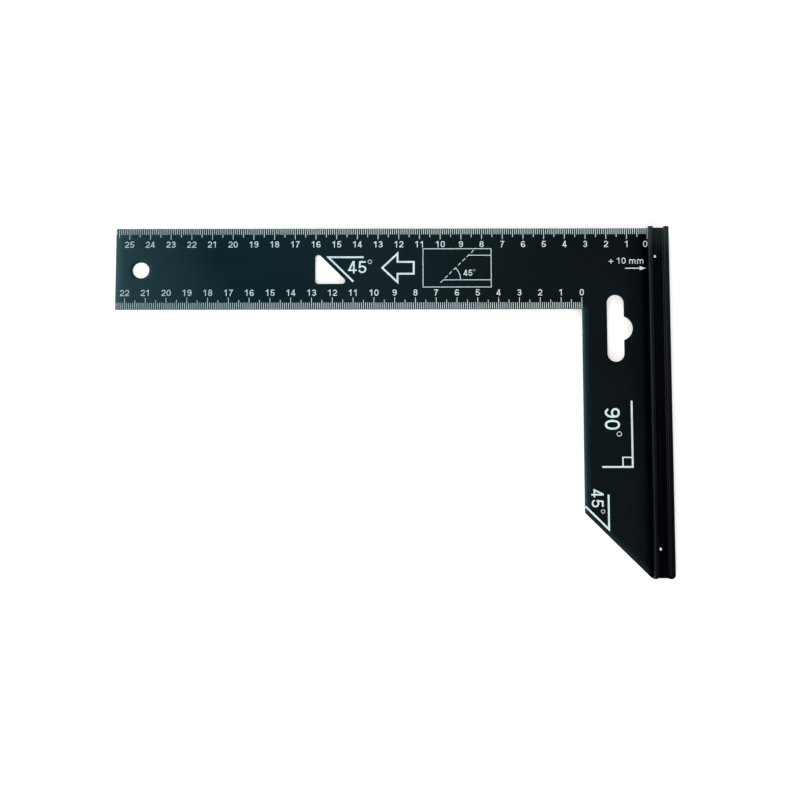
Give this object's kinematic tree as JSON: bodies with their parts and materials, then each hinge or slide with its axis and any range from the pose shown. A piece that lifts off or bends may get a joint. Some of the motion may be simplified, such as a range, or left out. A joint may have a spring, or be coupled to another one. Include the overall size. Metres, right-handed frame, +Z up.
{
  "type": "try and mitre square",
  "caption": "Carpenter's try and mitre square: black L-shaped sheet blade with white millimetre scales and 45 degree edges, pinned into a slotted extruded stock.",
  "frame": {"origin": "on the surface the square lies on, under the middle of its overall box", "axes": "+X along the blade from its free end towards the stock, +Y along the stock towards the blade's outer edge, +Z up out of the printed face"},
  "size_m": [0.2664, 0.17, 0.01],
  "materials": {
    "blade_coating": "semi-gloss blue-black coating on steel sheet",
    "stock_anodising": "satin black anodised extrusion with fine die lines along its length",
    "pin_steel": "bright steel, polished at the crowned ends",
    "scale_ink": "white printed ink, thin and slightly uneven"
  },
  "bodies": {
    "root": {"blade": "blade_coating", "stock": "stock_anodising", "upper_pin": "pin_steel", "lower_pin": "pin_steel"}
  },
  "joints": []
}
